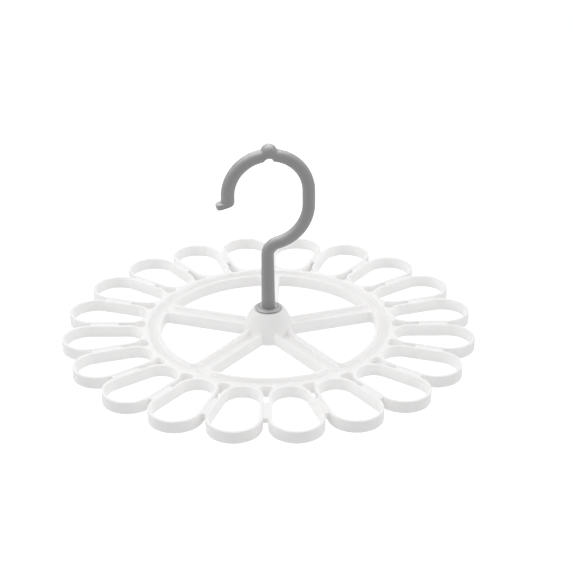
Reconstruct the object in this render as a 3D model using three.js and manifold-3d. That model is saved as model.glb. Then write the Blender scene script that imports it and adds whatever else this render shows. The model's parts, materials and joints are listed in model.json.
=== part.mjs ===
// Round sock drying hanger: a moulded wheel of petal loops that hangs from a swivel hook.
// Millimetres, +Z up. The wheel lies on z = 0 and the swivel axis is the Z axis.
import * as THREE from 'three';
import { mergeVertices } from 'three/addons/utils/BufferGeometryUtils.js';
import Module from 'manifold-3d';

const wasm = await Module();
wasm.setup();

// Wheel moulding
const WHEEL_RADIUS = 165;
const WHEEL_HEIGHT = 9.7;
const WALL = 2.8;
const WEB = 3.2;
const SEAM = 0.3;

// Petal loops, each with a thin tie to the next one a little below the rims
const LOOP_COUNT = 20;
const LOOP_GAP = 3.5;
const LOOP_SEAT = 0.8;
const TIE_FROM_TIP = 26.4;
const TIE_LENGTH = 18;
const TIE_DROP = 1.5;
const TIE_THICKNESS = 3;

// Channel ring, and the dimple left where each spoke was filled
const RING_INNER_RADIUS = 86;
const RING_CHANNEL = 7.7;
const SPOKE_FILLET = 3;
const DIMPLE_RADIUS = 2;
const DIMPLE_DEPTH = 0.7;
const DIMPLE_FROM_RIM = 2.5;

// Spokes
const SPOKE_COUNT = 5;
const SPOKE_WIDTH = 15;

// Hub boss with bowed sides on an upright foot, cored from below, with a sleeve for the hook's stem
const HUB_HEIGHT = 23.5;
const HUB_FOOT_RADIUS = 20;
const HUB_FOOT_HEIGHT = 5;
const HUB_SHOULDER_RADIUS = 18.5;
const HUB_SHOULDER_DROP = 7;
const HUB_TOP_RADIUS = 12.8;
const SLEEVE_LENGTH = 15.5;

// Hook stem: it turns in the sleeve and its split barb snaps out below
const STEM_RADIUS = 5;
const TURN_CLEARANCE = 0.35;
const FLOAT = 0.3;
const BARB_LEDGE = 1.3;
const BARB_LENGTH = 5;
const BARB_POINT_RADIUS = 4.3;
const BARB_LAND = 1;
const SPLIT_WIDTH = 2;
const SPLIT_LENGTH = 16;

// Hook above the hub, and how far it is turned from the XZ plane as it hangs
const HOOK_TURN = THREE.MathUtils.degToRad(10.2);
const FLANGE_RADIUS = 10.6;
const FLANGE_THICKNESS = 1.8;
const SHANK_BASE_RADIUS = 5.45;
const SHANK_COVE = 1.6;
const ROD_RADIUS = 5;
const SHANK_TOP = 70.5;
const SHANK_BEND_RADIUS = 10.5;

// Bight: an arc up from the shank's bend, a straight run and a half circle down to the arm
const BIGHT_RADIUS = 31.7;
const BIGHT_OFFSET = 1.3;
const RUN_LENGTH = 11;
const ARM_LENGTH = 5.6;

// Ball over the line groove, and the arm's slanted end with its toe
const BALL_RADIUS = 6.3;
const BALL_OFFSET = 2.5;
const BALL_LIFT = 2.2;
const LINE_GROOVE_RADIUS = 4.1;
const LINE_GROOVE_DEPTH = 4.5;
const TIP_CROWN = 2.7;
const TIP_TILT = THREE.MathUtils.degToRad(15);
const TOE_RADIUS = 3.7;
const TOE_REACH = 5.7;

// Facets: how far a chord may lie inside its curve, and the sides of turned and swept pieces
const SAGITTA = 0.08;
const HUB_SIDES = 40;
const ROD_SIDES = 16;
const ROD_STEPS = 60;
const SHOULDER_STEPS = 6;

const TURN = 2 * Math.PI;
const LOOP_PITCH = TURN / LOOP_COUNT;
const SPOKE_PITCH = TURN / SPOKE_COUNT;
const MID_HEIGHT = WHEEL_HEIGHT / 2;
const RECESS_TOP = MID_HEIGHT + WEB / 2;
const RECESS_BOTTOM = MID_HEIGHT - WEB / 2;
const CHANNEL_OUTER_RADIUS = RING_INNER_RADIUS + WALL + RING_CHANNEL;
const RING_OUTER_RADIUS = CHANNEL_OUTER_RADIUS + WALL;
const BACK = Math.PI / 2;
const OVERCUT = 1;

function point(x, y) {
  return new THREE.Vector2(x, y);
}

// Points of an arc, both ends included
function arc(cx, cy, radius, from, to) {
  const step = 2 * Math.acos(1 - SAGITTA / radius);
  const count = Math.max(3, Math.ceil(Math.abs(to - from) / step));
  const points = [];
  for (let i = 0; i <= count; i += 1) {
    const angle = from + ((to - from) * i) / count;
    points.push(point(cx + radius * Math.cos(angle), cy + radius * Math.sin(angle)));
  }
  return points;
}

function circle(radius, cx = 0, cy = 0) {
  return arc(cx, cy, radius, 0, TURN).slice(0, -1);
}

function turned(points, angle) {
  return points.map((p) => p.clone().rotateAround(point(0, 0), angle));
}

// Upright prism of an outline, with optional holes
function prism(outline, low, high, holes = []) {
  const shape = new THREE.Shape(outline);
  shape.holes = holes.map((hole) => new THREE.Path(hole));
  const geometry = new THREE.ExtrudeGeometry(shape, { depth: high - low, bevelEnabled: false });
  return geometry.translate(0, 0, low);
}

function toSolid(geometry) {
  const bare = geometry.clone();
  bare.deleteAttribute('normal');
  bare.deleteAttribute('uv');
  const merged = mergeVertices(bare);
  return new wasm.Manifold(new wasm.Mesh({
    numProp: 3,
    vertProperties: new Float32Array(merged.attributes.position.array),
    triVerts: new Uint32Array(merged.index.array),
  }));
}

function toGeometry(solid) {
  const { vertProperties, triVerts } = solid.getMesh();
  const geometry = new THREE.BufferGeometry();
  geometry.setAttribute('position', new THREE.BufferAttribute(vertProperties, 3));
  geometry.setIndex(new THREE.BufferAttribute(triVerts, 1));
  geometry.computeVertexNormals();
  return geometry;
}

function whitePlastic() {
  return new THREE.MeshStandardMaterial({ color: 0xf3f3f1, roughness: 0.42, metalness: 0 });
}

function greyPlastic() {
  return new THREE.MeshStandardMaterial({ color: 0x808083, roughness: 0.48, metalness: 0 });
}

// Loop outline along +X. The sides open by half a pitch, so the gap to the next loop is parallel.
const LOOP_SLANT = Math.sin(LOOP_PITCH / 2);
const LOOP_END_RADIUS = (WHEEL_RADIUS * LOOP_SLANT - LOOP_GAP / 2) / (1 + LOOP_SLANT);
const LOOP_END_CENTRE = WHEEL_RADIUS - LOOP_END_RADIUS;
const LOOP_START = RING_OUTER_RADIUS - LOOP_SEAT;

function loopOutline(grow) {
  const wide = LOOP_END_RADIUS;
  const narrow = (wide - (LOOP_END_CENTRE - LOOP_START) * LOOP_SLANT) / (1 - LOOP_SLANT);
  const side = Math.PI / 2 + LOOP_PITCH / 2;
  const outer = arc(LOOP_END_CENTRE, 0, wide + grow, -side, side);
  const inner = arc(LOOP_START + narrow, 0, narrow + grow, side, TURN - side);
  return [...outer, ...inner];
}

// The tie stands in the gap on the loop's left, from half way into its wall to the next loop
function tieGeometry() {
  const end = WHEEL_RADIUS - TIE_FROM_TIP;
  const right = -LOOP_GAP / 2 - WALL / 2;
  const left = LOOP_GAP / 2 - SEAM;
  const outline = [
    point(end - TIE_LENGTH, right),
    point(end, right),
    point(end, left),
    point(end - TIE_LENGTH, left),
  ];
  const top = WHEEL_HEIGHT - TIE_DROP;
  return prism(turned(outline, LOOP_PITCH / 2), top - TIE_THICKNESS, top);
}

function loopGeometry() {
  const band = prism(loopOutline(0), 0, WHEEL_HEIGHT, [loopOutline(-WALL)]);
  return toGeometry(toSolid(band).add(toSolid(tieGeometry())));
}

// Outline of the open sector between spoke 0 and spoke 1, grown into its walls
function sectorOutline(grow) {
  const half = SPOKE_WIDTH / 2 - grow;
  const rim = RING_INNER_RADIUS + grow;
  const fillet = SPOKE_FILLET + grow;
  const along = Math.sqrt((rim - fillet) ** 2 - (half + fillet) ** 2);
  const bearing = Math.atan2(half + fillet, along);
  const start = half / Math.tan(SPOKE_PITCH / 2) + WALL;
  const first = [point(start, half), ...arc(along, half + fillet, fillet, -Math.PI / 2, bearing)];
  const last = [...arc(along, -half - fillet, fillet, -bearing, Math.PI / 2), point(start, -half)];
  const middle = arc(0, 0, rim, bearing, SPOKE_PITCH - bearing).slice(1, -1);
  return [...first, ...middle, ...turned(last, SPOKE_PITCH)];
}

function spokeAngles() {
  return Array.from({ length: SPOKE_COUNT }, (_, i) => BACK + i * SPOKE_PITCH);
}

function loopAngles() {
  return Array.from({ length: LOOP_COUNT }, (_, i) => BACK + (i + 0.5) * LOOP_PITCH);
}

// Where the ring's short spoke stubs end and the straight spokes begin
const STUB_RADIUS = RING_INNER_RADIUS - SPOKE_FILLET - WALL;

function ringGeometry() {
  const sectors = (grow) => spokeAngles().map((angle) => turned(sectorOutline(grow), angle));
  const channel = circle(CHANNEL_OUTER_RADIUS);
  const upperRecess = prism(channel, RECESS_TOP, WHEEL_HEIGHT + OVERCUT, sectors(WALL));
  const lowerRecess = prism(channel, -OVERCUT, RECESS_BOTTOM, sectors(WALL));
  let ring = toSolid(prism(circle(RING_OUTER_RADIUS), 0, WHEEL_HEIGHT, sectors(0)));
  ring = ring.subtract(toSolid(upperRecess)).subtract(toSolid(lowerRecess));
  const middle = prism(circle(STUB_RADIUS / 2), -OVERCUT, WHEEL_HEIGHT + OVERCUT);
  ring = ring.subtract(toSolid(middle));
  for (const angle of spokeAngles()) {
    const half = SPOKE_WIDTH / 2 + OVERCUT;
    const lane = [
      point(-half, -half),
      point(STUB_RADIUS, -half),
      point(STUB_RADIUS, half),
      point(-half, half),
    ];
    ring = ring.subtract(toSolid(prism(turned(lane, angle), -OVERCUT, WHEEL_HEIGHT + OVERCUT)));
    const dimple = circle(DIMPLE_RADIUS, RING_INNER_RADIUS + DIMPLE_FROM_RIM, 0);
    const floor = RECESS_TOP - DIMPLE_DEPTH;
    ring = ring.subtract(toSolid(prism(turned(dimple, angle), floor, RECESS_TOP + OVERCUT)));
  }
  for (const angle of loopAngles()) {
    const saddle = turned(loopOutline(SEAM), angle);
    ring = ring.subtract(toSolid(prism(saddle, -OVERCUT, WHEEL_HEIGHT + OVERCUT)));
  }
  return toGeometry(ring);
}

// Skin of the hub from its foot to its top face, as radius and height, grown outwards
function hubSkin(grow) {
  const side = new THREE.QuadraticBezierCurve(
    point(HUB_FOOT_RADIUS + grow, HUB_FOOT_HEIGHT),
    point(HUB_SHOULDER_RADIUS + grow, HUB_HEIGHT - HUB_SHOULDER_DROP),
    point(HUB_TOP_RADIUS + grow, HUB_HEIGHT + grow),
  );
  return [point(HUB_FOOT_RADIUS + grow, 0), ...side.getPoints(SHOULDER_STEPS)];
}

const BORE_RADIUS = STEM_RADIUS + TURN_CLEARANCE;
const SLEEVE_FOOT = HUB_HEIGHT - SLEEVE_LENGTH;

function hubGeometry() {
  const profile = [
    ...hubSkin(0),
    point(BORE_RADIUS, HUB_HEIGHT),
    point(BORE_RADIUS, SLEEVE_FOOT),
    point(BORE_RADIUS + WALL, SLEEVE_FOOT),
    point(BORE_RADIUS + WALL, HUB_HEIGHT - WALL),
    ...hubSkin(-WALL).reverse(),
  ];
  return latheGeometry([...profile, profile[0]], HUB_SIDES);
}

// A lathe about +Z of points given as radius and height
function latheGeometry(profile, sides) {
  return new THREE.LatheGeometry(profile, sides).rotateX(Math.PI / 2);
}

// H section: two side ribs and a web half way up
function spokeGeometry() {
  const half = SPOKE_WIDTH / 2;
  const inner = half - WALL;
  const section = new THREE.Shape([
    point(-half, 0),
    point(-inner, 0),
    point(-inner, RECESS_BOTTOM),
    point(inner, RECESS_BOTTOM),
    point(inner, 0),
    point(half, 0),
    point(half, WHEEL_HEIGHT),
    point(inner, WHEEL_HEIGHT),
    point(inner, RECESS_TOP),
    point(-inner, RECESS_TOP),
    point(-inner, WHEEL_HEIGHT),
    point(-half, WHEEL_HEIGHT),
  ]);
  const length = STUB_RADIUS - SEAM;
  const beam = new THREE.ExtrudeGeometry(section, { depth: length, bevelEnabled: false });
  const across = new THREE.Vector3(0, 1, 0);
  const up = new THREE.Vector3(0, 0, 1);
  const outward = new THREE.Vector3(1, 0, 0);
  beam.applyMatrix4(new THREE.Matrix4().makeBasis(across, up, outward));
  const skin = [
    point(0, -OVERCUT),
    point(HUB_FOOT_RADIUS + SEAM, -OVERCUT),
    ...hubSkin(SEAM),
    point(0, HUB_HEIGHT + SEAM),
  ];
  const hub = toSolid(latheGeometry(skin, HUB_SIDES));
  return toGeometry(toSolid(beam).subtract(hub));
}

// Centre line of the bent rod in the XZ plane, from the shank's top to the end of the arm. The shank's
// bend and the bight's lower arc touch, so the angle that both turn through follows from their radii.
class HookLine extends THREE.Curve {
  constructor() {
    super();
    const reach = SHANK_BEND_RADIUS + BIGHT_RADIUS;
    const angle = Math.acos((SHANK_BEND_RADIUS - BIGHT_OFFSET) / reach);
    const lowZ = SHANK_TOP + reach * Math.sin(angle);
    this.archZ = lowZ + RUN_LENGTH;
    this.armX = BIGHT_OFFSET - BIGHT_RADIUS;
    this.tipZ = this.archZ - ARM_LENGTH;
    const path = new THREE.Path();
    path.moveTo(0, SHANK_TOP);
    path.absarc(SHANK_BEND_RADIUS, SHANK_TOP, SHANK_BEND_RADIUS, Math.PI, Math.PI - angle, true);
    path.absarc(BIGHT_OFFSET, lowZ, BIGHT_RADIUS, -angle, 0, false);
    path.lineTo(BIGHT_OFFSET + BIGHT_RADIUS, this.archZ);
    path.absarc(BIGHT_OFFSET, this.archZ, BIGHT_RADIUS, 0, Math.PI, false);
    path.lineTo(this.armX, this.tipZ);
    this.path = path;
  }

  getPoint(t) {
    const p = this.path.getPoint(t);
    return new THREE.Vector3(p.x, 0, p.y);
  }
}

// Stem, flange and flared shank, turned about the swivel axis
function shankGeometry() {
  const flangeFoot = HUB_HEIGHT + FLOAT;
  const flangeTop = flangeFoot + FLANGE_THICKNESS;
  const ledge = SLEEVE_FOOT - FLOAT;
  const barbEdge = STEM_RADIUS + BARB_LEDGE;
  const edge = FLANGE_THICKNESS / 2;
  const rim = arc(FLANGE_RADIUS - edge, flangeFoot + edge, edge, -Math.PI / 2, Math.PI / 2);
  const coveX = SHANK_BASE_RADIUS + SHANK_COVE;
  const cove = arc(coveX, flangeTop + SHANK_COVE, SHANK_COVE, -Math.PI / 2, -Math.PI);
  const profile = [
    point(0, ledge - BARB_LENGTH),
    point(BARB_POINT_RADIUS, ledge - BARB_LENGTH),
    point(barbEdge, ledge - BARB_LAND),
    point(barbEdge, ledge),
    point(STEM_RADIUS, ledge),
    point(STEM_RADIUS, flangeFoot),
    ...rim,
    ...cove,
    point(ROD_RADIUS, SHANK_TOP),
    point(0, SHANK_TOP),
  ];
  return latheGeometry(profile, ROD_SIDES);
}

function rodGeometry(line) {
  const angles = Array.from({ length: ROD_SIDES }, (_, i) => (i * TURN) / ROD_SIDES);
  const corners = angles.map((angle) => turned([point(ROD_RADIUS, 0)], angle)[0]);
  const options = { steps: ROD_STEPS, extrudePath: line, bevelEnabled: false };
  return new THREE.ExtrudeGeometry(new THREE.Shape(corners), options);
}

function hookGeometry() {
  const line = new HookLine();
  const top = line.archZ + BIGHT_RADIUS;
  const ball = new THREE.SphereGeometry(BALL_RADIUS, ROD_SIDES, ROD_SIDES / 2);
  ball.rotateX(Math.PI / 2).translate(BALL_OFFSET, 0, top + BALL_LIFT);
  const tip = new THREE.SphereGeometry(ROD_RADIUS, ROD_SIDES, ROD_SIDES / 2);
  tip.rotateX(Math.PI / 2).scale(1, 1, TIP_CROWN / ROD_RADIUS).rotateY(-TIP_TILT);
  tip.translate(line.armX, 0, line.tipZ);
  const toe = new THREE.CapsuleGeometry(TOE_RADIUS, TOE_REACH, ROD_SIDES / 4, ROD_SIDES);
  toe.rotateZ(Math.PI / 2).translate(-TOE_REACH / 2, 0, 0).rotateY(-TIP_TILT);
  toe.translate(line.armX, 0, line.tipZ);
  const grooveAxis = top - ROD_RADIUS + LINE_GROOVE_DEPTH - LINE_GROOVE_RADIUS;
  const grooveLength = 2 * (BALL_RADIUS + ROD_RADIUS);
  const bore = circle(LINE_GROOVE_RADIUS);
  const groove = prism(bore, -grooveLength / 2, grooveLength / 2).rotateX(Math.PI / 2);
  groove.translate(BALL_OFFSET, 0, grooveAxis);
  const splitLow = SLEEVE_FOOT - FLOAT - BARB_LENGTH - OVERCUT;
  const splitDepth = 2 * (STEM_RADIUS + BARB_LEDGE + OVERCUT);
  const split = new THREE.BoxGeometry(SPLIT_WIDTH, splitDepth, SPLIT_LENGTH + OVERCUT);
  split.translate(0, 0, splitLow + (SPLIT_LENGTH + OVERCUT) / 2);
  const pieces = [shankGeometry(), rodGeometry(line), ball, tip, toe].map(toSolid);
  const body = pieces.reduce((sum, piece) => sum.add(piece));
  return toGeometry(body.subtract(toSolid(groove)).subtract(toSolid(split)));
}

function named(name, geometry, material, angle = 0) {
  const mesh = new THREE.Mesh(geometry, material);
  mesh.name = name;
  mesh.rotation.z = angle;
  return mesh;
}

const wheel = new THREE.Group();
wheel.add(named('hub', hubGeometry(), whitePlastic()));
wheel.add(named('ring', ringGeometry(), whitePlastic()));
const spoke = spokeGeometry();
spokeAngles().forEach((angle, i) => {
  wheel.add(named(`spoke_${i + 1}`, spoke, whitePlastic(), angle));
});
const loop = loopGeometry();
loopAngles().forEach((angle, i) => {
  const number = String(i + 1).padStart(2, '0');
  wheel.add(named(`sock_loop_${number}`, loop, whitePlastic(), angle));
});

const hanger = new THREE.Group();
hanger.add(wheel);
hanger.add(named('hook', hookGeometry(), greyPlastic(), HOOK_TURN));

export default hanger;
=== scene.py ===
"""Looks of a round sock drying hanger: one white wheel moulding and one grey swivel hook."""

import json
import math

import bmesh
import bpy
import numpy as np
from mathutils import Matrix, Vector


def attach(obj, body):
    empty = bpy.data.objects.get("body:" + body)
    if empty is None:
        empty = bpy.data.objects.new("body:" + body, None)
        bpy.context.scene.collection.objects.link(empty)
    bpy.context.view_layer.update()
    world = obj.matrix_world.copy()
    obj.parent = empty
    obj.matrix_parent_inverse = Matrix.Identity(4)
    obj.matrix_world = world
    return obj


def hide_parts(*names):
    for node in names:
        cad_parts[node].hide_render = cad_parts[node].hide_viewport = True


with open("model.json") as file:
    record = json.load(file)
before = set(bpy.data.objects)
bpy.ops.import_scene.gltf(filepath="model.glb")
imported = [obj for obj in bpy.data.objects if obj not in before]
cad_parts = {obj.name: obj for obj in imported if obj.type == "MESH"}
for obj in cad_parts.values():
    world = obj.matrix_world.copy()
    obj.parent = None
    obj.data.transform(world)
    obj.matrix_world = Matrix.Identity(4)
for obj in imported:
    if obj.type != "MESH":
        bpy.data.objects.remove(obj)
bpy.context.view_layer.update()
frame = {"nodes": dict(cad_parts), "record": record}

# Lengths below are in millimetres, angles in radians. The frame gives the main ones.
MM = 0.001
WHEEL_NODES = frame["record"]["behaviour"]["bodies"]["wheel"]


def node_points(node):
    """Vertices of a CAD node, in millimetres."""
    vertices = frame["nodes"][node].data.vertices
    flat = np.zeros(len(vertices) * 3)
    vertices.foreach_get("co", flat)
    return flat.reshape(-1, 3) / MM


def radius_of(node):
    """A CAD node's greatest distance from the swivel axis."""
    return np.hypot(*node_points(node)[:, :2].T).max()


def top_of(node):
    return node_points(node)[:, 2].max()


def count_named(start):
    """How many of the wheel's nodes have a name with that start."""
    return sum(node.startswith(start) for node in WHEEL_NODES)


WHEEL_RADIUS = radius_of("sock_loop_01")
WHEEL_HEIGHT = top_of("ring")
RING_OUTER_RADIUS = radius_of("ring")
SPOKE_HALF = node_points("spoke_1")[:, 0].max()
HUB_RADIUS = radius_of("hub")
HUB_HEIGHT = top_of("hub")
LOOP_COUNT = count_named("sock_loop_")
SPOKE_COUNT = count_named("spoke_")

# Wheel moulding: walls round open channels, with a web half way up, and a tie in each gap between loops
WALL = 2.8
WEB = 3.2
LOOP_GAP = 3.5
LOOP_SEAT = 0.8
JUNCTION_FILLET = 3.2
RING_INNER_RADIUS = 86
SPOKE_FILLET = 3
WALL_EDGE = 0.55
CHANNEL_FILLET = 0.7
DIMPLE_RADIUS = 2
DIMPLE_DEPTH = 0.7
DIMPLE_EDGE = 0.25
DIMPLE_FROM_RIM = 2.5
TIE_FROM_TIP = 21.4
TIE_LENGTH = 23
TIE_DROP = 0.6
TIE_THICKNESS = 4
TIE_EDGE = 0.45

# Hub boss with bowed sides on an upright foot, cored from below, with a sleeve for the hook's stem
HUB_FOOT_HEIGHT = 5
HUB_SHOULDER_RADIUS = 18.5
HUB_SHOULDER_DROP = 7
HUB_TOP_RADIUS = 12.8
HUB_EDGE = 0.5
SLEEVE_LENGTH = 15.5
BORE_RADIUS = 5.35

# Hook: stem with a split barb, flange, shank and bight
HOOK_TURN = math.radians(10.2)
STEM_RADIUS = 5
FLOAT = 0.3
BARB_LEDGE = 1.3
BARB_LENGTH = 5
BARB_LAND = 1
BARB_POINT_RADIUS = 4.3
SPLIT_WIDTH = 2
SPLIT_LENGTH = 16
FLANGE_RADIUS = 10.6
FLANGE_THICKNESS = 1.8
FLANGE_RIM = 0.8
FLANGE_CREST_RADIUS = 8.3
GUTTER_RADIUS = 6.9
GUTTER_DEPTH = 0.9
SHANK_BASE_RADIUS = 5.45
ROD_RADIUS = 5
SHANK_TOP = 70.5
SHANK_BEND_RADIUS = 10.5
BIGHT_RADIUS = 31.7
BIGHT_OFFSET = 1.3
RUN_LENGTH = 11
ARM_SWELL = 0.3

# Ball over the line groove, and the arm's slanted end with its toe, a flat pad with a round end
BALL_RADIUS = 6.3
BALL_OFFSET = 2.1
BALL_LIFT = 2.8
BALL_BLEND = 0.9
GROOVE_OFFSET = 1.6
GROOVE_RADIUS = 3.6
GROOVE_DEPTH = 3.8
GROOVE_EDGE = 0.5
ARM_LENGTH = 5.6
END_LENGTH = 7.2
END_EDGE = 1.4
TIP_TILT = math.radians(15)
TOE_RADIUS = 4.4
TOE_REACH = 5.1
TOE_THICKNESS = 4.4
TOE_EDGE = 0.6
TOE_BLEND = 0.5
CAST_DEPTH = 1.5

# Facets: longest step along a line, widest step of an arc, steps of an edge, and sides of turned pieces
STEP = 1.5
ARC_STEP = math.radians(6)
EDGE_STEPS = 4
HUB_SIDES = 128
ROD_SIDES = 96
SHANK_RINGS = 24
TIP_STEPS = 90

# The fine step along the rod beside the ball, and how many ball radii it goes on for
FINE_STEP = 0.25
FINE_SPREAD = 1.5

# How far the rays for the rod and its tip look for the surface, and how often that is halved
ROD_CAST = 3 * ROD_RADIUS
TIP_CAST = 4 * ROD_RADIUS
HALVINGS = 40

# Points that count as one, and the least angle of a crease
SAME_POINT = 1e-6
MERGE_DISTANCE = 0.002
SHARP_ANGLE = math.radians(38)

# The channel's floor, and the directions of the loops and the spokes
RECESS_TOP = (WHEEL_HEIGHT + WEB) / 2
LOOP_PITCH = 2 * math.pi / LOOP_COUNT
SPOKE_PITCH = 2 * math.pi / SPOKE_COUNT
LOOP_ANGLES = [math.pi / 2 + (i + 0.5) * LOOP_PITCH for i in range(LOOP_COUNT)]
SPOKE_ANGLES = [math.pi / 2 + i * SPOKE_PITCH for i in range(SPOKE_COUNT)]


class Rail:
    """A line in a plane, with the direction out of the material at each of its points."""

    def __init__(self, points, normals):
        self.points = np.asarray(points, float)
        self.normals = np.asarray(normals, float)

    def turned(self, angle):
        c, s = math.cos(angle), math.sin(angle)
        turn = np.array([[c, s], [-s, c]])
        return Rail(self.points @ turn, self.normals @ turn)

    def other_face(self, thickness):
        """The line on the far face of a wall of that thickness."""
        return Rail(self.points - thickness * self.normals, -self.normals)


def joined(*rails):
    """One rail of several, each point kept once."""
    points = np.vstack([r.points for r in rails])
    normals = np.vstack([r.normals for r in rails])
    step = np.linalg.norm(points - np.roll(points, 1, axis=0), axis=1)
    return Rail(points[step > SAME_POINT], normals[step > SAME_POINT])


def arc(centre, radius, start, end, hollow=False, step=STEP):
    """An arc whose material is inside it, or outside it where it is hollow."""
    turn = abs(end - start)
    count = max(2, math.ceil(turn / ARC_STEP), math.ceil(turn * radius / step))
    angles = np.linspace(start, end, count + 1)
    ray = np.stack([np.cos(angles), np.sin(angles)], axis=1)
    return Rail(np.asarray(centre) + radius * ray, -ray if hollow else ray)


def full_circle(centre, radius, hollow):
    """A circle as a closed rail."""
    return joined(arc(centre, radius, 0, 2 * math.pi, hollow))


# Loop outline: the sides open by half a pitch, so the gap to the next loop is parallel
LOOP_SLANT = math.sin(LOOP_PITCH / 2)
LOOP_SIDE = math.pi / 2 + LOOP_PITCH / 2
LOOP_END_RADIUS = (WHEEL_RADIUS * LOOP_SLANT - LOOP_GAP / 2) / (1 + LOOP_SLANT)
LOOP_END_CENTRE = WHEEL_RADIUS - LOOP_END_RADIUS
LOOP_START = RING_OUTER_RADIUS - LOOP_SEAT
LOOP_ROOT_RADIUS = (LOOP_END_RADIUS - (LOOP_END_CENTRE - LOOP_START) * LOOP_SLANT) / (1 - LOOP_SLANT)
LOOP_ROOT_CENTRE = LOOP_START + LOOP_ROOT_RADIUS


def loop_hole_rail():
    """The open inside of a loop along +X."""
    end = arc((LOOP_END_CENTRE, 0), LOOP_END_RADIUS - WALL, -LOOP_SIDE, LOOP_SIDE, hollow=True)
    root_turn = (LOOP_SIDE, 2 * math.pi - LOOP_SIDE)
    root = arc((LOOP_ROOT_CENTRE, 0), LOOP_ROOT_RADIUS - WALL, *root_turn, hollow=True)
    return joined(end, root)


def outer_rail():
    """The wheel's outline: round each loop, and along the ring's outer wall between the loops."""
    far = RING_OUTER_RADIUS + JUNCTION_FILLET
    near = LOOP_ROOT_RADIUS + JUNCTION_FILLET
    x = (far**2 - near**2 + LOOP_ROOT_CENTRE**2) / (2 * LOOP_ROOT_CENTRE)
    y = math.sqrt(far**2 - x**2)
    on_ring = math.atan2(y, x)
    on_loop = math.atan2(y, x - LOOP_ROOT_CENTRE)
    half_pitch = LOOP_PITCH / 2
    root = (LOOP_ROOT_CENTRE, 0)
    period = joined(
        arc((0, 0), RING_OUTER_RADIUS, -half_pitch, -on_ring),
        arc((x, -y), JUNCTION_FILLET, math.pi - on_ring, math.pi - on_loop, hollow=True),
        arc(root, LOOP_ROOT_RADIUS, -on_loop, -LOOP_SIDE),
        arc((LOOP_END_CENTRE, 0), LOOP_END_RADIUS, -LOOP_SIDE, LOOP_SIDE),
        arc(root, LOOP_ROOT_RADIUS, LOOP_SIDE, on_loop),
        arc((x, y), JUNCTION_FILLET, on_loop - math.pi, on_ring - math.pi, hollow=True),
        arc((0, 0), RING_OUTER_RADIUS, on_ring, half_pitch),
    )
    return joined(*[period.turned(angle) for angle in LOOP_ANGLES])


def sector_rail():
    """The open sector between two spokes, with its point inside the hub."""
    rise = SPOKE_HALF + SPOKE_FILLET
    reach = RING_INNER_RADIUS - SPOKE_FILLET
    bearing = math.asin(rise / reach)
    last = SPOKE_PITCH - bearing
    bisector = np.array([math.cos(SPOKE_PITCH / 2), math.sin(SPOKE_PITCH / 2)])
    mitre = bisector / math.sin(SPOKE_PITCH / 2)

    def corner(angle, start, end):
        centre = (reach * math.cos(angle), reach * math.sin(angle))
        return arc(centre, SPOKE_FILLET, start, end, hollow=True)

    return joined(
        Rail([SPOKE_HALF * mitre], [mitre]),
        corner(bearing, -math.pi / 2, bearing),
        arc((0, 0), RING_INNER_RADIUS, bearing, last, hollow=True),
        corner(last, last, SPOKE_PITCH + math.pi / 2),
    )


def tie_rail():
    """A tie in the gap between two loops along +X, with its sides buried in their walls."""
    high = WHEEL_RADIUS - TIE_FROM_TIP
    low = high - TIE_LENGTH
    side = LOOP_GAP / 2 + WALL / 2
    corners = [(high, -side), (high, side), (low, side), (low, -side)]
    return Rail(corners, [(1, -1), (1, 1), (-1, 1), (-1, -1)])


def rounded_edge(edge, height):
    """From a flat top out over a rounded edge, as pairs of out and up."""
    turns = np.linspace(math.pi / 2, 0, EDGE_STEPS + 1)
    return [(edge * (math.cos(t) - 1), height + edge * (math.sin(t) - 1)) for t in turns]


def through_profile(low, high, edge):
    """An upright wall with its two edges rounded."""
    upper = rounded_edge(edge, high)
    lower = [(out, low + high - up) for out, up in reversed(upper)]
    return upper + lower


def channel_profile():
    """From a wall's top over its rounded edge, and down through a fillet into the channel's floor."""
    turns = np.linspace(0, math.pi / 2, EDGE_STEPS + 1)
    floor = RECESS_TOP + CHANNEL_FILLET
    cove = [(CHANNEL_FILLET * (1 - math.cos(t)), floor - CHANNEL_FILLET * math.sin(t)) for t in turns]
    return rounded_edge(WALL_EDGE, WHEEL_HEIGHT) + cove


def sweep(bm, rail, profile):
    """Carries a profile round a closed rail, and returns its first and last ring of vertices."""
    rings = []
    for out, up in profile:
        line = rail.points + out * rail.normals
        rings.append([bm.verts.new((x * MM, y * MM, up * MM)) for x, y in line])
    bridge(bm, rings)
    return rings[0], rings[-1]


def bridge(bm, rings):
    """Faces between each ring of vertices and the next."""
    for above, below in zip(rings, rings[1:]):
        for i in range(len(above)):
            bm.faces.new((above[i - 1], above[i], below[i], below[i - 1]))


def fill(bm, rings):
    """A flat face between rings of vertices: the first is round it, and the others are its holes."""
    pairs = [(ring[i - 1], ring[i]) for ring in rings for i in range(len(ring))]
    edges = [bm.edges.get(pair) for pair in pairs]
    bmesh.ops.triangle_fill(bm, edges=edges, use_beauty=True, normal=(0, 0, 1))


def to_object(bm, name):
    """Ends a mesh in the making, and returns it as an object."""
    bmesh.ops.recalc_face_normals(bm, faces=bm.faces)
    mesh = bpy.data.meshes.new(name)
    bm.to_mesh(mesh)
    bm.free()
    return add_object(name, mesh)


def add_object(name, data):
    """A new object in the scene."""
    obj = bpy.data.objects.new(name, data)
    bpy.context.scene.collection.objects.link(obj)
    return obj


def apply_modifiers(obj):
    """Puts what the object's modifiers make in place of its mesh."""
    made = obj.evaluated_get(bpy.context.evaluated_depsgraph_get())
    obj.data = bpy.data.meshes.new_from_object(made)
    obj.modifiers.clear()


def combine(obj, tool, operation):
    """Joins a tool object to another, or cuts it away."""
    modifier = obj.modifiers.new("combine", "BOOLEAN")
    modifier.solver = "MANIFOLD"
    modifier.operation = operation
    modifier.object = tool
    apply_modifiers(obj)
    bpy.data.objects.remove(tool)


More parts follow.
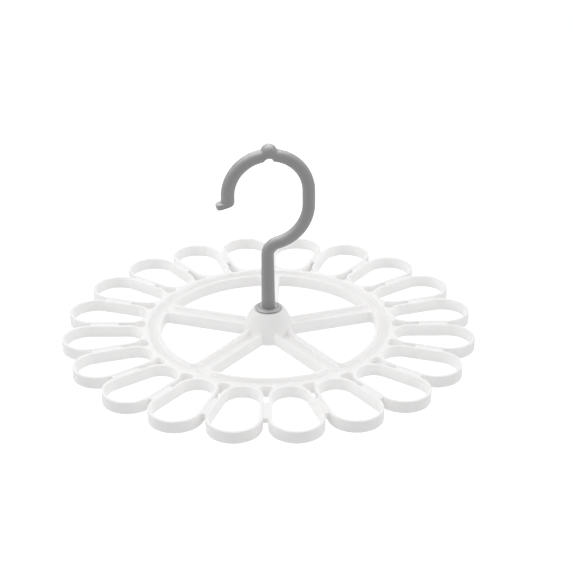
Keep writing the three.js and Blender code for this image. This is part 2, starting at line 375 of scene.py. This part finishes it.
def shade(obj):
    """Smooth faces with sharp creases, and flat faces that stay flat beside rounded edges."""
    bm = bmesh.new()
    bm.from_mesh(obj.data)
    bmesh.ops.remove_doubles(bm, verts=bm.verts, dist=MERGE_DISTANCE * MM)
    bmesh.ops.dissolve_degenerate(bm, edges=bm.edges, dist=MERGE_DISTANCE * MM)
    for face in bm.faces:
        face.smooth = True
    for edge in bm.edges:
        edge.smooth = edge.is_manifold and edge.calc_face_angle() < SHARP_ANGLE
    bm.to_mesh(obj.data)
    bm.free()
    weighted = obj.modifiers.new("weighted", "WEIGHTED_NORMAL")
    weighted.mode = "FACE_AREA"
    weighted.keep_sharp = True
    apply_modifiers(obj)


def walls_and_web():
    """Loops, ring and spokes as one closed skin."""
    bm = bmesh.new()
    through = through_profile(0, WHEEL_HEIGHT, WALL_EDGE)
    upper = channel_profile()
    lower = [(out, WHEEL_HEIGHT - up) for out, up in upper]
    rim_top, rim_foot = sweep(bm, outer_rail(), through)
    tops, feet = [rim_top], [rim_foot]
    for angle in LOOP_ANGLES:
        top, foot = sweep(bm, loop_hole_rail().turned(angle), through)
        tops.append(top)
        feet.append(foot)
    channel = full_circle((0, 0), RING_OUTER_RADIUS - WALL, hollow=True)
    top, floor = sweep(bm, channel, upper)
    foot, ceiling = sweep(bm, channel, lower)
    fill(bm, tops + [top])
    fill(bm, feet + [foot])
    floors, ceilings = [floor], [ceiling]
    for angle in SPOKE_ANGLES:
        hole = sector_rail().turned(angle)
        rib = hole.other_face(WALL)
        hole_top, hole_foot = sweep(bm, hole, through)
        rib_top, rib_floor = sweep(bm, rib, upper)
        rib_foot, rib_ceiling = sweep(bm, rib, lower)
        fill(bm, [rib_top, hole_top])
        fill(bm, [rib_foot, hole_foot])
        floors += [rib_floor, dimple(bm, angle)]
        ceilings.append(rib_ceiling)
    fill(bm, floors)
    fill(bm, ceilings)
    return to_object(bm, "wheel_moulding")


def dimple(bm, angle):
    """The shallow round dent on a spoke's line, returned as its rim in the channel's floor."""
    rail = full_circle((RING_INNER_RADIUS + DIMPLE_FROM_RIM, 0), DIMPLE_RADIUS, hollow=True).turned(angle)
    floor = RECESS_TOP - DIMPLE_DEPTH
    foot = [(-out, 2 * floor - up) for out, up in reversed(rounded_edge(DIMPLE_EDGE, floor))]
    rim, bottom = sweep(bm, rail, rounded_edge(DIMPLE_EDGE, RECESS_TOP) + foot)
    bm.faces.new(bottom)
    return rim


def ties():
    """The short webs that tie each loop to the next."""
    bm = bmesh.new()
    high = WHEEL_HEIGHT - TIE_DROP
    profile = through_profile(high - TIE_THICKNESS, high, TIE_EDGE)
    for angle in LOOP_ANGLES:
        top, foot = sweep(bm, tie_rail().turned(angle + LOOP_PITCH / 2), profile)
        fill(bm, [top])
        fill(bm, [foot])
    return to_object(bm, "ties")


def softened(corners):
    """A line of points from corners given as across, up and rounding."""
    line = np.array([c[:2] for c in corners], float)
    points = []
    for i, (x, y, rounding) in enumerate(corners):
        before, after = line[i - 1], line[(i + 1) % len(line)]
        if not rounding:
            points.append((x, y))
            continue
        corner = line[i]
        start = corner + rounding * (before - corner) / np.linalg.norm(before - corner)
        end = corner + rounding * (after - corner) / np.linalg.norm(after - corner)
        points += bezier(start, corner, end)
    return points


def bezier(start, control, end, steps=2 * EDGE_STEPS):
    """Points along a curve that leaves its start and reaches its end in line with the control point."""
    start, control, end = (np.asarray(p, float) for p in (start, control, end))
    ts = np.linspace(0, 1, steps + 1)
    return [tuple((1 - t) ** 2 * start + 2 * t * (1 - t) * control + t * t * end) for t in ts]


def lathe_rings(bm, profile, sides):
    """A ring of vertices about +Z for each point of radius and height."""
    turns = [2 * math.pi * i / sides for i in range(sides)]
    rays = [(math.cos(t), math.sin(t)) for t in turns]
    return [[bm.verts.new((r * c * MM, r * s * MM, z * MM)) for c, s in rays] for r, z in profile]


def hub_side(inset):
    """The hub's bowed side from its foot up to its top face, set in from the outside."""
    return bezier(
        (HUB_RADIUS - inset, HUB_FOOT_HEIGHT),
        (HUB_SHOULDER_RADIUS - inset, HUB_HEIGHT - HUB_SHOULDER_DROP),
        (HUB_TOP_RADIUS - inset, HUB_HEIGHT - inset),
        steps=4 * EDGE_STEPS,
    )


def hub():
    """The boss, turned about the swivel axis, with its cored underside and its sleeve."""
    bm = bmesh.new()
    sleeve_foot = HUB_HEIGHT - SLEEVE_LENGTH
    sleeve = BORE_RADIUS + WALL
    corners = [
        (HUB_RADIUS, 0, HUB_EDGE),
        *[(x, y, 0) for x, y in hub_side(0)[:-1]],
        (HUB_TOP_RADIUS, HUB_HEIGHT, HUB_EDGE),
        (BORE_RADIUS, HUB_HEIGHT, HUB_EDGE),
        (BORE_RADIUS, sleeve_foot, HUB_EDGE),
        (sleeve, sleeve_foot, HUB_EDGE),
        (sleeve, HUB_HEIGHT - WALL, HUB_EDGE),
        *[(x, y, 0) for x, y in reversed(hub_side(WALL))],
        (HUB_RADIUS - WALL, 0, HUB_EDGE),
    ]
    rings = lathe_rings(bm, softened(corners), HUB_SIDES)
    bridge(bm, rings + rings[:1])
    return to_object(bm, "hub_boss")


def drum(name, radius, low, high):
    """A plain round cutter about the swivel axis."""
    bm = bmesh.new()
    rings = lathe_rings(bm, [(radius, low), (radius, high)], HUB_SIDES)
    bridge(bm, rings)
    for ring in rings:
        bm.faces.new(ring)
    return to_object(bm, name)


def wheel_moulding():
    """The whole wheel: the hub takes the place of the web in the middle, and the ties join the loops."""
    wheel = walls_and_web()
    combine(wheel, drum("core", HUB_RADIUS - WALL / 2, -WALL, WHEEL_HEIGHT + WALL), "DIFFERENCE")
    combine(wheel, hub(), "UNION")
    combine(wheel, ties(), "UNION")
    shade(wheel)
    return wheel


def smooth_min(a, b, reach):
    """The lesser of two distances, rounded where they are about the same."""
    h = np.clip(0.5 + 0.5 * (b - a) / reach, 0, 1)
    return b + (a - b) * h - reach * h * (1 - h)


def smooth_max(a, b, reach):
    """The greater of two distances, rounded in the same way."""
    return -smooth_min(-a, -b, reach)


def length(vectors):
    return np.linalg.norm(vectors, axis=-1)


def cast(origins, rays, distance, limit):
    """Where each ray from inside a solid leaves it, found by halving."""
    near = np.zeros(rays.shape[:-1])
    far = np.full(rays.shape[:-1], float(limit))
    for _ in range(HALVINGS):
        middle = (near + far) / 2
        inside = distance(origins + middle[..., None] * rays) < 0
        near = np.where(inside, middle, near)
        far = np.where(inside, far, middle)
    return origins + near[..., None] * rays


# Hook's centre line in its own XZ plane: the shank's bend and the bight's lower arc touch
HOOK_REACH = SHANK_BEND_RADIUS + BIGHT_RADIUS
HOOK_ANGLE = math.acos((SHANK_BEND_RADIUS - BIGHT_OFFSET) / HOOK_REACH)
LOW_Z = SHANK_TOP + HOOK_REACH * math.sin(HOOK_ANGLE)
ARCH_Z = LOW_Z + RUN_LENGTH
ARM_X = BIGHT_OFFSET - BIGHT_RADIUS
ROD_TOP = ARCH_Z + BIGHT_RADIUS


def hook_line():
    """The rod's centre line above the shank, with normals across it in its own plane."""
    fine = FINE_SPREAD * BALL_RADIUS / BIGHT_RADIUS
    lean = math.asin((BALL_OFFSET - BIGHT_OFFSET) / BIGHT_RADIUS)
    ball_at = math.pi / 2 - lean
    arch = ((BIGHT_OFFSET, ARCH_Z), BIGHT_RADIUS)
    bend = (SHANK_BEND_RADIUS, SHANK_TOP)
    return joined(
        arc(bend, SHANK_BEND_RADIUS, math.pi, math.pi - HOOK_ANGLE, hollow=True, step=STEP / 2),
        arc((BIGHT_OFFSET, LOW_Z), BIGHT_RADIUS, -HOOK_ANGLE, 0),
        arc(*arch, 0, ball_at - fine),
        arc(*arch, ball_at - fine, ball_at + fine, step=FINE_STEP),
        arc(*arch, ball_at + fine, math.pi),
    )


def rod_points():
    """Rings of points round the bent rod, with the ball blended on and the line groove cut."""
    line = hook_line()
    centres = np.insert(line.points, 1, 0, axis=1)[:, None, :]
    outward = np.insert(line.normals, 1, 0, axis=1)[:, None, :]
    turns = np.linspace(0, 2 * math.pi, ROD_SIDES, endpoint=False)[None, :, None]
    rays = np.cos(turns) * outward + np.sin(turns) * np.array([0, 1, 0])
    along = np.linspace(0, 1, len(line.points))[:, None]
    far_half = np.clip(2 * along - 1, 0, 1)
    radius = ROD_RADIUS + ARM_SWELL * far_half**2
    ball = np.array([BALL_OFFSET, 0, ROD_TOP + BALL_LIFT])
    groove = np.array([GROOVE_OFFSET, ROD_TOP - ROD_RADIUS + GROOVE_DEPTH - GROOVE_RADIUS])

    def distance(p):
        rod = length(p - centres) - radius
        solid = smooth_min(rod, length(p - ball) - BALL_RADIUS, BALL_BLEND)
        return smooth_max(solid, GROOVE_RADIUS - length(p[..., [0, 2]] - groove), GROOVE_EDGE)

    return cast(centres, rays, distance, ROD_CAST)


def tip_points(ring):
    """Rings of points from the rod's last ring round the arm's slanted end and its toe."""
    tip_z = ARCH_Z - ARM_LENGTH
    slope = np.array([math.cos(TIP_TILT), 0, math.sin(TIP_TILT)])
    down = np.array([math.sin(TIP_TILT), 0, -math.cos(TIP_TILT)])
    heel = np.array([ARM_X, 0, tip_z])
    toe = heel - TOE_REACH * slope
    end = np.array([ARM_X, 0, ARCH_Z - END_LENGTH])
    inside = heel - CAST_DEPTH * slope
    start = ring - inside
    start = start / length(start)[:, None]
    pole = np.array([0, 0, -1])
    gap = np.arccos(start @ pole)[None, :, None]
    share = np.linspace(0, 1, TIP_STEPS + 1)[1:-1, None, None]
    rays = (np.sin((1 - share) * gap) * start + np.sin(share * gap) * pole) / np.sin(gap)
    rays = np.concatenate([rays, np.broadcast_to(pole, (1, 1, 3)).repeat(len(ring), axis=1)])

    def distance(p):
        arm = length((p - heel)[..., :2]) - ROD_RADIUS - ARM_SWELL
        arm = smooth_max(arm, (p - end) @ down, END_EDGE)
        share_of_toe = np.clip((heel - p) @ slope / TOE_REACH, 0, 1)[..., None]
        offset = p - heel - share_of_toe * (toe - heel)
        height = offset @ down
        outline = length(offset - height[..., None] * down) - TOE_RADIUS
        pad = smooth_max(outline, np.abs(height) - TOE_THICKNESS / 2, TOE_EDGE)
        return smooth_min(arm, pad, TOE_BLEND)

    return cast(inside, rays, distance, TIP_CAST)


def shank_profile():
    """Stem, barb, flange with its gutter, and tapered shank, from the foot up as radius and height."""
    flange_foot = HUB_HEIGHT + FLOAT
    flange_top = flange_foot + FLANGE_THICKNESS
    gutter = flange_top - GUTTER_DEPTH
    ledge = HUB_HEIGHT - SLEEVE_LENGTH - FLOAT
    barb = STEM_RADIUS + BARB_LEDGE
    edge = FLANGE_RIM / 2
    corners = [
        (0, ledge - BARB_LENGTH, 0),
        (BARB_POINT_RADIUS, ledge - BARB_LENGTH, HUB_EDGE),
        (barb, ledge - BARB_LAND, HUB_EDGE / 2),
        (barb, ledge, HUB_EDGE / 2),
        (STEM_RADIUS, ledge, HUB_EDGE / 2),
        (STEM_RADIUS, flange_foot, 0),
        (FLANGE_RADIUS, flange_foot, edge),
        (FLANGE_RADIUS, flange_foot + FLANGE_RIM, edge),
        (FLANGE_CREST_RADIUS, flange_top, edge),
        (GUTTER_RADIUS, gutter, edge),
        (SHANK_BASE_RADIUS, gutter, edge),
        (ROD_RADIUS, SHANK_TOP, 0),
    ]
    profile = softened(corners)[:-1]
    foot_radius, foot_height = profile[-1]
    heights = np.linspace(foot_height, SHANK_TOP, SHANK_RINGS)[1:-1]
    share = (heights - foot_height) / (SHANK_TOP - foot_height)
    radii = foot_radius + (ROD_RADIUS - foot_radius) * share
    return profile + list(zip(radii, heights))


def hook_moulding():
    """The whole hook as one skin from the barb's point to the toe, turned as in the photograph."""
    bm = bmesh.new()
    (_, foot_height), *profile = shank_profile()
    rings = lathe_rings(bm, profile, ROD_SIDES)
    foot = bm.verts.new((0, 0, foot_height * MM))
    rod = rod_points()
    tip = tip_points(rod[-1])
    for ring in [*rod, *tip[:-1]]:
        rings.append([bm.verts.new(p * MM) for p in ring])
    end = bm.verts.new(tip[-1][0] * MM)
    bridge(bm, rings)
    for i in range(ROD_SIDES):
        bm.faces.new((rings[0][i - 1], rings[0][i], foot))
        bm.faces.new((rings[-1][i - 1], rings[-1][i], end))
    hook = to_object(bm, "hook_moulding")
    combine(hook, barb_split(), "DIFFERENCE")
    hook.data.transform(Matrix.Rotation(HOOK_TURN, 4, "Z"))
    shade(hook)
    return hook


def barb_split():
    """The slot that lets the barb close as it is pushed through the sleeve."""
    low = HUB_HEIGHT - SLEEVE_LENGTH - FLOAT - BARB_LENGTH - WALL
    high = low + WALL + SPLIT_LENGTH
    deep = 2 * FLANGE_RADIUS
    bm = bmesh.new()
    bmesh.ops.create_cube(bm, size=1)
    size = Matrix.Diagonal((SPLIT_WIDTH * MM, deep * MM, (high - low) * MM, 1))
    bm.transform(Matrix.Translation((0, 0, (low + high) / 2 * MM)) @ size)
    return to_object(bm, "split")


# Plastics: noise scales are per metre, and the flow is the soft unevenness of the tone
FLOW_SCALE = 28
FLOW_DETAIL = 3
FLOW_ENDS = (0.3, 0.7)
GLOSS_SCALE = 160
GLOSS_DETAIL = 4
GLOSS_SPREAD = 0.06
GRAIN_SCALE = 2400
GRAIN_DETAIL = 2
GRAIN_DEPTH = 0.02

# How far light spreads inside a milky plastic, and how rough the soft bloom on a satin one is
MILK_DEPTH = 5
BLOOM_ROUGHNESS = 0.5

# The uneven tone of each plastic, from its darker to its lighter colour
WHITE_TONES = [(0.92, 0.91, 0.904), (0.948, 0.938, 0.932)]
GREY_TONES = [(0.235, 0.235, 0.238), (0.255, 0.255, 0.258)]


def plastic(name, tones, roughness, grain, gleam, milkiness=0, bloom=0):
    """Satin moulded plastic: a little uneven in tone and gloss, with a fine moulded grain."""
    material = bpy.data.materials.new(name)
    material.use_nodes = True
    nodes, links = material.node_tree.nodes, material.node_tree.links
    shader = nodes["Principled BSDF"]
    shader.inputs["Subsurface Weight"].default_value = milkiness
    shader.inputs["Subsurface Radius"].default_value = (1, 1, 1)
    shader.inputs["Subsurface Scale"].default_value = MILK_DEPTH * MM
    shader.inputs["Specular IOR Level"].default_value = gleam
    shader.inputs["Sheen Weight"].default_value = bloom
    shader.inputs["Sheen Roughness"].default_value = BLOOM_ROUGHNESS
    place = nodes.new("ShaderNodeTexCoord").outputs["Object"]

    def noise(scale, detail):
        node = nodes.new("ShaderNodeTexNoise")
        node.inputs["Scale"].default_value = scale
        node.inputs["Detail"].default_value = detail
        links.new(place, node.inputs["Vector"])
        return node.outputs["Fac"]

    tone = nodes.new("ShaderNodeValToRGB")
    for stop, position, color in zip(tone.color_ramp.elements, FLOW_ENDS, tones):
        stop.position = position
        stop.color = (*color, 1)
    links.new(noise(FLOW_SCALE, FLOW_DETAIL), tone.inputs["Fac"])
    links.new(tone.outputs["Color"], shader.inputs["Base Color"])

    gloss = nodes.new("ShaderNodeMapRange")
    gloss.inputs["To Min"].default_value = roughness - GLOSS_SPREAD
    gloss.inputs["To Max"].default_value = roughness + GLOSS_SPREAD
    links.new(noise(GLOSS_SCALE, GLOSS_DETAIL), gloss.inputs["Value"])
    links.new(gloss.outputs["Result"], shader.inputs["Roughness"])

    bump = nodes.new("ShaderNodeBump")
    bump.inputs["Strength"].default_value = grain
    bump.inputs["Distance"].default_value = GRAIN_DEPTH * MM
    links.new(noise(GRAIN_SCALE, GRAIN_DETAIL), bump.inputs["Height"])
    links.new(bump.outputs["Normal"], shader.inputs["Normal"])
    return material


def dress(piece, body, nodes, material):
    """Gives a piece its material, and puts it on a body in the place of CAD nodes."""
    piece.data.materials.clear()
    piece.data.materials.append(material)
    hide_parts(*nodes)
    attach(piece, body)


# The camera of the photograph: its place, the point in the plane y = 0 that it aims at, and its roll
CAMERA_PLACE = (24.8, -1043.3, 567.7)
CAMERA_AIM = (14.61, 0, 42.74)
CAMERA_ROLL = math.radians(0.5)
CAMERA_LENS = 92.45
SENSOR_WIDTH = 36
FARTHEST_SEEN = 100000

# Studio floor below the hanging object: the lift takes its lit colour up to white where it is seen
FLOOR_DROP = 350
FLOOR_SIZE = 3000
FLOOR_COLOR = (0.95, 0.95, 0.95)
FLOOR_ROUGHNESS = 0.9
FLOOR_LIFT = 0.45

# Sky: pairs of a direction's height, from 0 for level to 1 for straight up, and how bright it is there
SKY_LEVELS = [(0.06, 0.05), (0.25, 1), (0.7, 1), (0.9, 0.25)]

# Lamps: name, place, width, and power in watts. The sheen lamp is only mirrored in glossy faces
LAMP_AIM = (0, 0, 50)
LAMPS = [
    ("key", (-250, 350, 1500), 800, 3),
    ("left", (-1200, 0, 650), 700, 2.7),
    ("right", (1200, 0, 650), 700, 2),
]
SHEEN_LAMP = ("sheen", (-100, 450, 1400), 2400, 58)


def camera():
    data = bpy.data.cameras.new("camera")
    data.sensor_fit = "HORIZONTAL"
    data.sensor_width = SENSOR_WIDTH
    data.lens = CAMERA_LENS
    data.clip_end = FARTHEST_SEEN * MM
    obj = add_object("camera", data)
    place, aim = Vector(CAMERA_PLACE) * MM, Vector(CAMERA_AIM) * MM
    look = (aim - place).to_track_quat("-Z", "Y").to_matrix().to_4x4()
    obj.matrix_world = Matrix.Translation(place) @ look @ Matrix.Rotation(-CAMERA_ROLL, 4, "Z")
    bpy.context.scene.camera = obj


def soft_light(name, place, width, power):
    """A round area lamp that faces the object."""
    data = bpy.data.lights.new(name, "AREA")
    data.shape = "DISK"
    data.size = width * MM
    data.energy = power
    obj = add_object(name, data)
    obj.location = Vector(place) * MM
    obj.rotation_mode = "QUATERNION"
    obj.rotation_quaternion = (Vector(LAMP_AIM) - Vector(place)).to_track_quat("-Z", "Y")
    return obj


def seen_directly(nodes, links):
    """1 for what the camera sees, straight on or in a glossy or clear surface, and 0 for other light."""
    path = nodes.new("ShaderNodeLightPath")
    seen = path.outputs["Is Camera Ray"]
    for ray in ("Is Glossy Ray", "Is Transmission Ray"):
        either = nodes.new("ShaderNodeMath")
        either.operation = "MAXIMUM"
        links.new(seen, either.inputs[0])
        links.new(path.outputs[ray], either.inputs[1])
        seen = either.outputs["Value"]
    return seen


def studio_world():
    """Soft light from a band of sky all round, which is white where it is seen."""
    world = bpy.data.worlds.new("studio")
    bpy.context.scene.world = world
    world.use_nodes = True
    nodes, links = world.node_tree.nodes, world.node_tree.links
    direction = nodes.new("ShaderNodeSeparateXYZ")
    links.new(nodes.new("ShaderNodeTexCoord").outputs["Generated"], direction.inputs["Vector"])
    light = nodes.new("ShaderNodeValToRGB")
    stops = light.color_ramp.elements
    for height, level in SKY_LEVELS:
        stops.new(height).color = (level, level, level, 1)
    # The ramp's own two stops go
    stops.remove(stops[-1])
    stops.remove(stops[0])
    links.new(direction.outputs["Z"], light.inputs["Fac"])
    strength = nodes.new("ShaderNodeMix")
    links.new(seen_directly(nodes, links), strength.inputs["Factor"])
    links.new(light.outputs["Color"], strength.inputs["A"])
    strength.inputs["B"].default_value = 1
    links.new(strength.outputs["Result"], nodes["Background"].inputs["Strength"])
    nodes["Background"].inputs["Color"].default_value = (1, 1, 1, 1)


def studio_floor():
    """A plain floor under the hanging object: it keeps the shadow, and is white where it is seen."""
    bm = bmesh.new()
    bmesh.ops.create_grid(bm, x_segments=1, y_segments=1, size=FLOOR_SIZE / 2 * MM)
    floor = to_object(bm, "floor")
    floor.location.z = -FLOOR_DROP * MM
    material = bpy.data.materials.new("floor")
    material.use_nodes = True
    nodes, links = material.node_tree.nodes, material.node_tree.links
    shader = nodes["Principled BSDF"]
    shader.inputs["Base Color"].default_value = (*FLOOR_COLOR, 1)
    shader.inputs["Roughness"].default_value = FLOOR_ROUGHNESS
    shader.inputs["Specular IOR Level"].default_value = 0
    shader.inputs["Emission Color"].default_value = (1, 1, 1, 1)
    lift = nodes.new("ShaderNodeMath")
    lift.operation = "MULTIPLY"
    lift.inputs[1].default_value = FLOOR_LIFT
    links.new(seen_directly(nodes, links), lift.inputs[0])
    links.new(lift.outputs["Value"], shader.inputs["Emission Strength"])
    floor.data.materials.append(material)


# The object
white = plastic("white_plastic", WHITE_TONES, roughness=0.42, grain=0.05, gleam=0.1, milkiness=0.5)
grey = plastic("grey_plastic", GREY_TONES, roughness=0.5, grain=0.03, gleam=1, bloom=0.3)
dress(wheel_moulding(), "wheel", WHEEL_NODES, white)
dress(hook_moulding(), "hook", ["hook"], grey)

# The studio
camera()
studio_world()
studio_floor()
for lamp in LAMPS:
    soft_light(*lamp)
soft_light(*SHEEN_LAMP).visible_diffuse = False
bpy.context.scene.view_settings.view_transform = "Standard"
